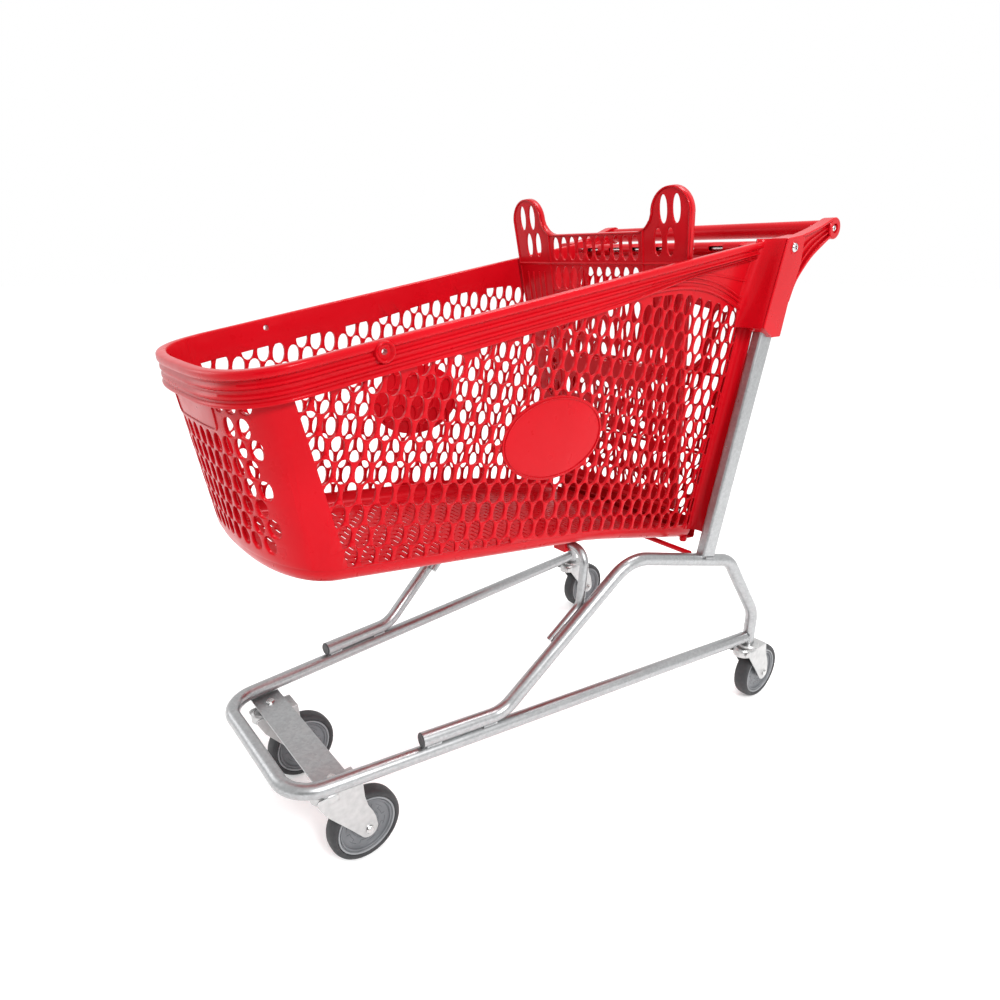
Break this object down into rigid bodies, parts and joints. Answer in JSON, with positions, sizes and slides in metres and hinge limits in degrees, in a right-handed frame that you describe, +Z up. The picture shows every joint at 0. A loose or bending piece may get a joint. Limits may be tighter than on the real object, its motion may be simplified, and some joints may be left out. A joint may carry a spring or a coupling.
{
  "type": "rolling basket trolley",
  "caption": "Shopping trolley: moulded basket with rear gate and folding child seat on a galvanised tube frame with swivel castors.",
  "frame": {"origin": "on the floor under the middle of the object's box", "axes": "+Z up, the nose points to -Y, +X is the trolley's left"},
  "size_m": [0.601, 1.131, 1.054],
  "materials": {
    "galvanised_tube": "bright galvanised, satin",
    "zinc_pressing": "zinc plated pressing, satin",
    "bright_steel": "bright plated",
    "red_plastic": "semi-gloss moulded",
    "plug_plastic": "matt moulded",
    "wheel_core": "satin moulded grey",
    "tyre_rubber": "dark grey elastic tread"
  },
  "bodies": {
    "frame": {"base_frame": "galvanised_tube", "front_castor_plate": "galvanised_tube", "floor_rod_front": "galvanised_tube", "floor_rod_rear": "red_plastic", "handle_tube": "galvanised_tube", "handle_sleeve": "red_plastic", "basket": "red_plastic", "gate_hinge_rod": "bright_steel", "hoop_left": "galvanised_tube", "hoop_plug_left": "plug_plastic", "floor_clip_left": "red_plastic", "post_left": "galvanised_tube", "shoulder_bracket_left": "red_plastic", "hinge_screw_left": "bright_steel", "handle_screw_left": "bright_steel", "hoop_right": "galvanised_tube", "hoop_plug_right": "plug_plastic", "floor_clip_right": "red_plastic", "post_right": "galvanised_tube", "shoulder_bracket_right": "red_plastic", "hinge_screw_right": "bright_steel", "handle_screw_right": "bright_steel", "front_left_bolt": "bright_steel", "front_left_race": "zinc_pressing", "front_right_bolt": "bright_steel", "front_right_race": "zinc_pressing", "rear_left_bolt": "bright_steel", "rear_left_race": "zinc_pressing", "rear_right_bolt": "bright_steel", "rear_right_race": "zinc_pressing"},
    "gate": {"gate": "red_plastic", "seat_hinge_rod": "bright_steel"},
    "seat_back": {"seat_back": "red_plastic", "seat_plate_rod": "bright_steel"},
    "seat_plate": {"seat_plate": "red_plastic"},
    "front_left_fork": {"front_left_fork": "zinc_pressing", "front_left_axle": "bright_steel", "front_left_axle_nut": "bright_steel"},
    "front_left_wheel": {"front_left_wheel_core": "wheel_core", "front_left_tyre": "tyre_rubber"},
    "front_right_fork": {"front_right_fork": "zinc_pressing", "front_right_axle": "bright_steel", "front_right_axle_nut": "bright_steel"},
    "front_right_wheel": {"front_right_wheel_core": "wheel_core", "front_right_tyre": "tyre_rubber"},
    "rear_left_fork": {"rear_left_fork": "zinc_pressing", "rear_left_axle": "bright_steel", "rear_left_axle_nut": "bright_steel"},
    "rear_left_wheel": {"rear_left_wheel_core": "wheel_core", "rear_left_tyre": "tyre_rubber"},
    "rear_right_fork": {"rear_right_fork": "zinc_pressing", "rear_right_axle": "bright_steel", "rear_right_axle_nut": "bright_steel"},
    "rear_right_wheel": {"rear_right_wheel_core": "wheel_core", "rear_right_tyre": "tyre_rubber"}
  },
  "joints": [
    {"name": "gate_swing", "type": "hinge", "parent": "frame", "child": "gate", "pos_m": [0, 0.411, 0.96], "axis": [-1, 0, 0], "range_deg": [0, 70]},
    {"name": "seat_back_fold", "type": "hinge", "parent": "gate", "child": "seat_back", "pos_m": [0, 0.282, 0.47], "axis": [-1, 0, 0], "range_deg": [0, 18]},
    {"name": "seat_plate_fold", "type": "hinge", "parent": "seat_back", "child": "seat_plate", "pos_m": [0, 0.24929, 0.73165], "axis": [1, 0, 0], "range_deg": [0, 96]},
    {"name": "front_left_swivel", "type": "hinge", "parent": "frame", "child": "front_left_fork", "pos_m": [0.125, -0.457, 0.15], "axis": [0, 0, 1], "continuous": true},
    {"name": "front_left_spin", "type": "hinge", "parent": "front_left_fork", "child": "front_left_wheel", "pos_m": [0.125, -0.409, 0.0625], "axis": [1, 0, 0], "continuous": true},
    {"name": "front_right_swivel", "type": "hinge", "parent": "frame", "child": "front_right_fork", "pos_m": [-0.125, -0.457, 0.15], "axis": [0, 0, 1], "continuous": true},
    {"name": "front_right_spin", "type": "hinge", "parent": "front_right_fork", "child": "front_right_wheel", "pos_m": [-0.125, -0.409, 0.0625], "axis": [1, 0, 0], "continuous": true},
    {"name": "rear_left_swivel", "type": "hinge", "parent": "frame", "child": "rear_left_fork", "pos_m": [0.2752, 0.455, 0.15], "axis": [0, 0, 1], "continuous": true},
    {"name": "rear_left_spin", "type": "hinge", "parent": "rear_left_fork", "child": "rear_left_wheel", "pos_m": [0.2752, 0.503, 0.0625], "axis": [1, 0, 0], "continuous": true},
    {"name": "rear_right_swivel", "type": "hinge", "parent": "frame", "child": "rear_right_fork", "pos_m": [-0.2752, 0.455, 0.15], "axis": [0, 0, 1], "continuous": true},
    {"name": "rear_right_spin", "type": "hinge", "parent": "rear_right_fork", "child": "rear_right_wheel", "pos_m": [-0.2752, 0.503, 0.0625], "axis": [1, 0, 0], "continuous": true}
  ],
  "couplings": [
    {"joint": "seat_plate_fold", "follows": "seat_back_fold", "ratio": 5.3}
  ]
}
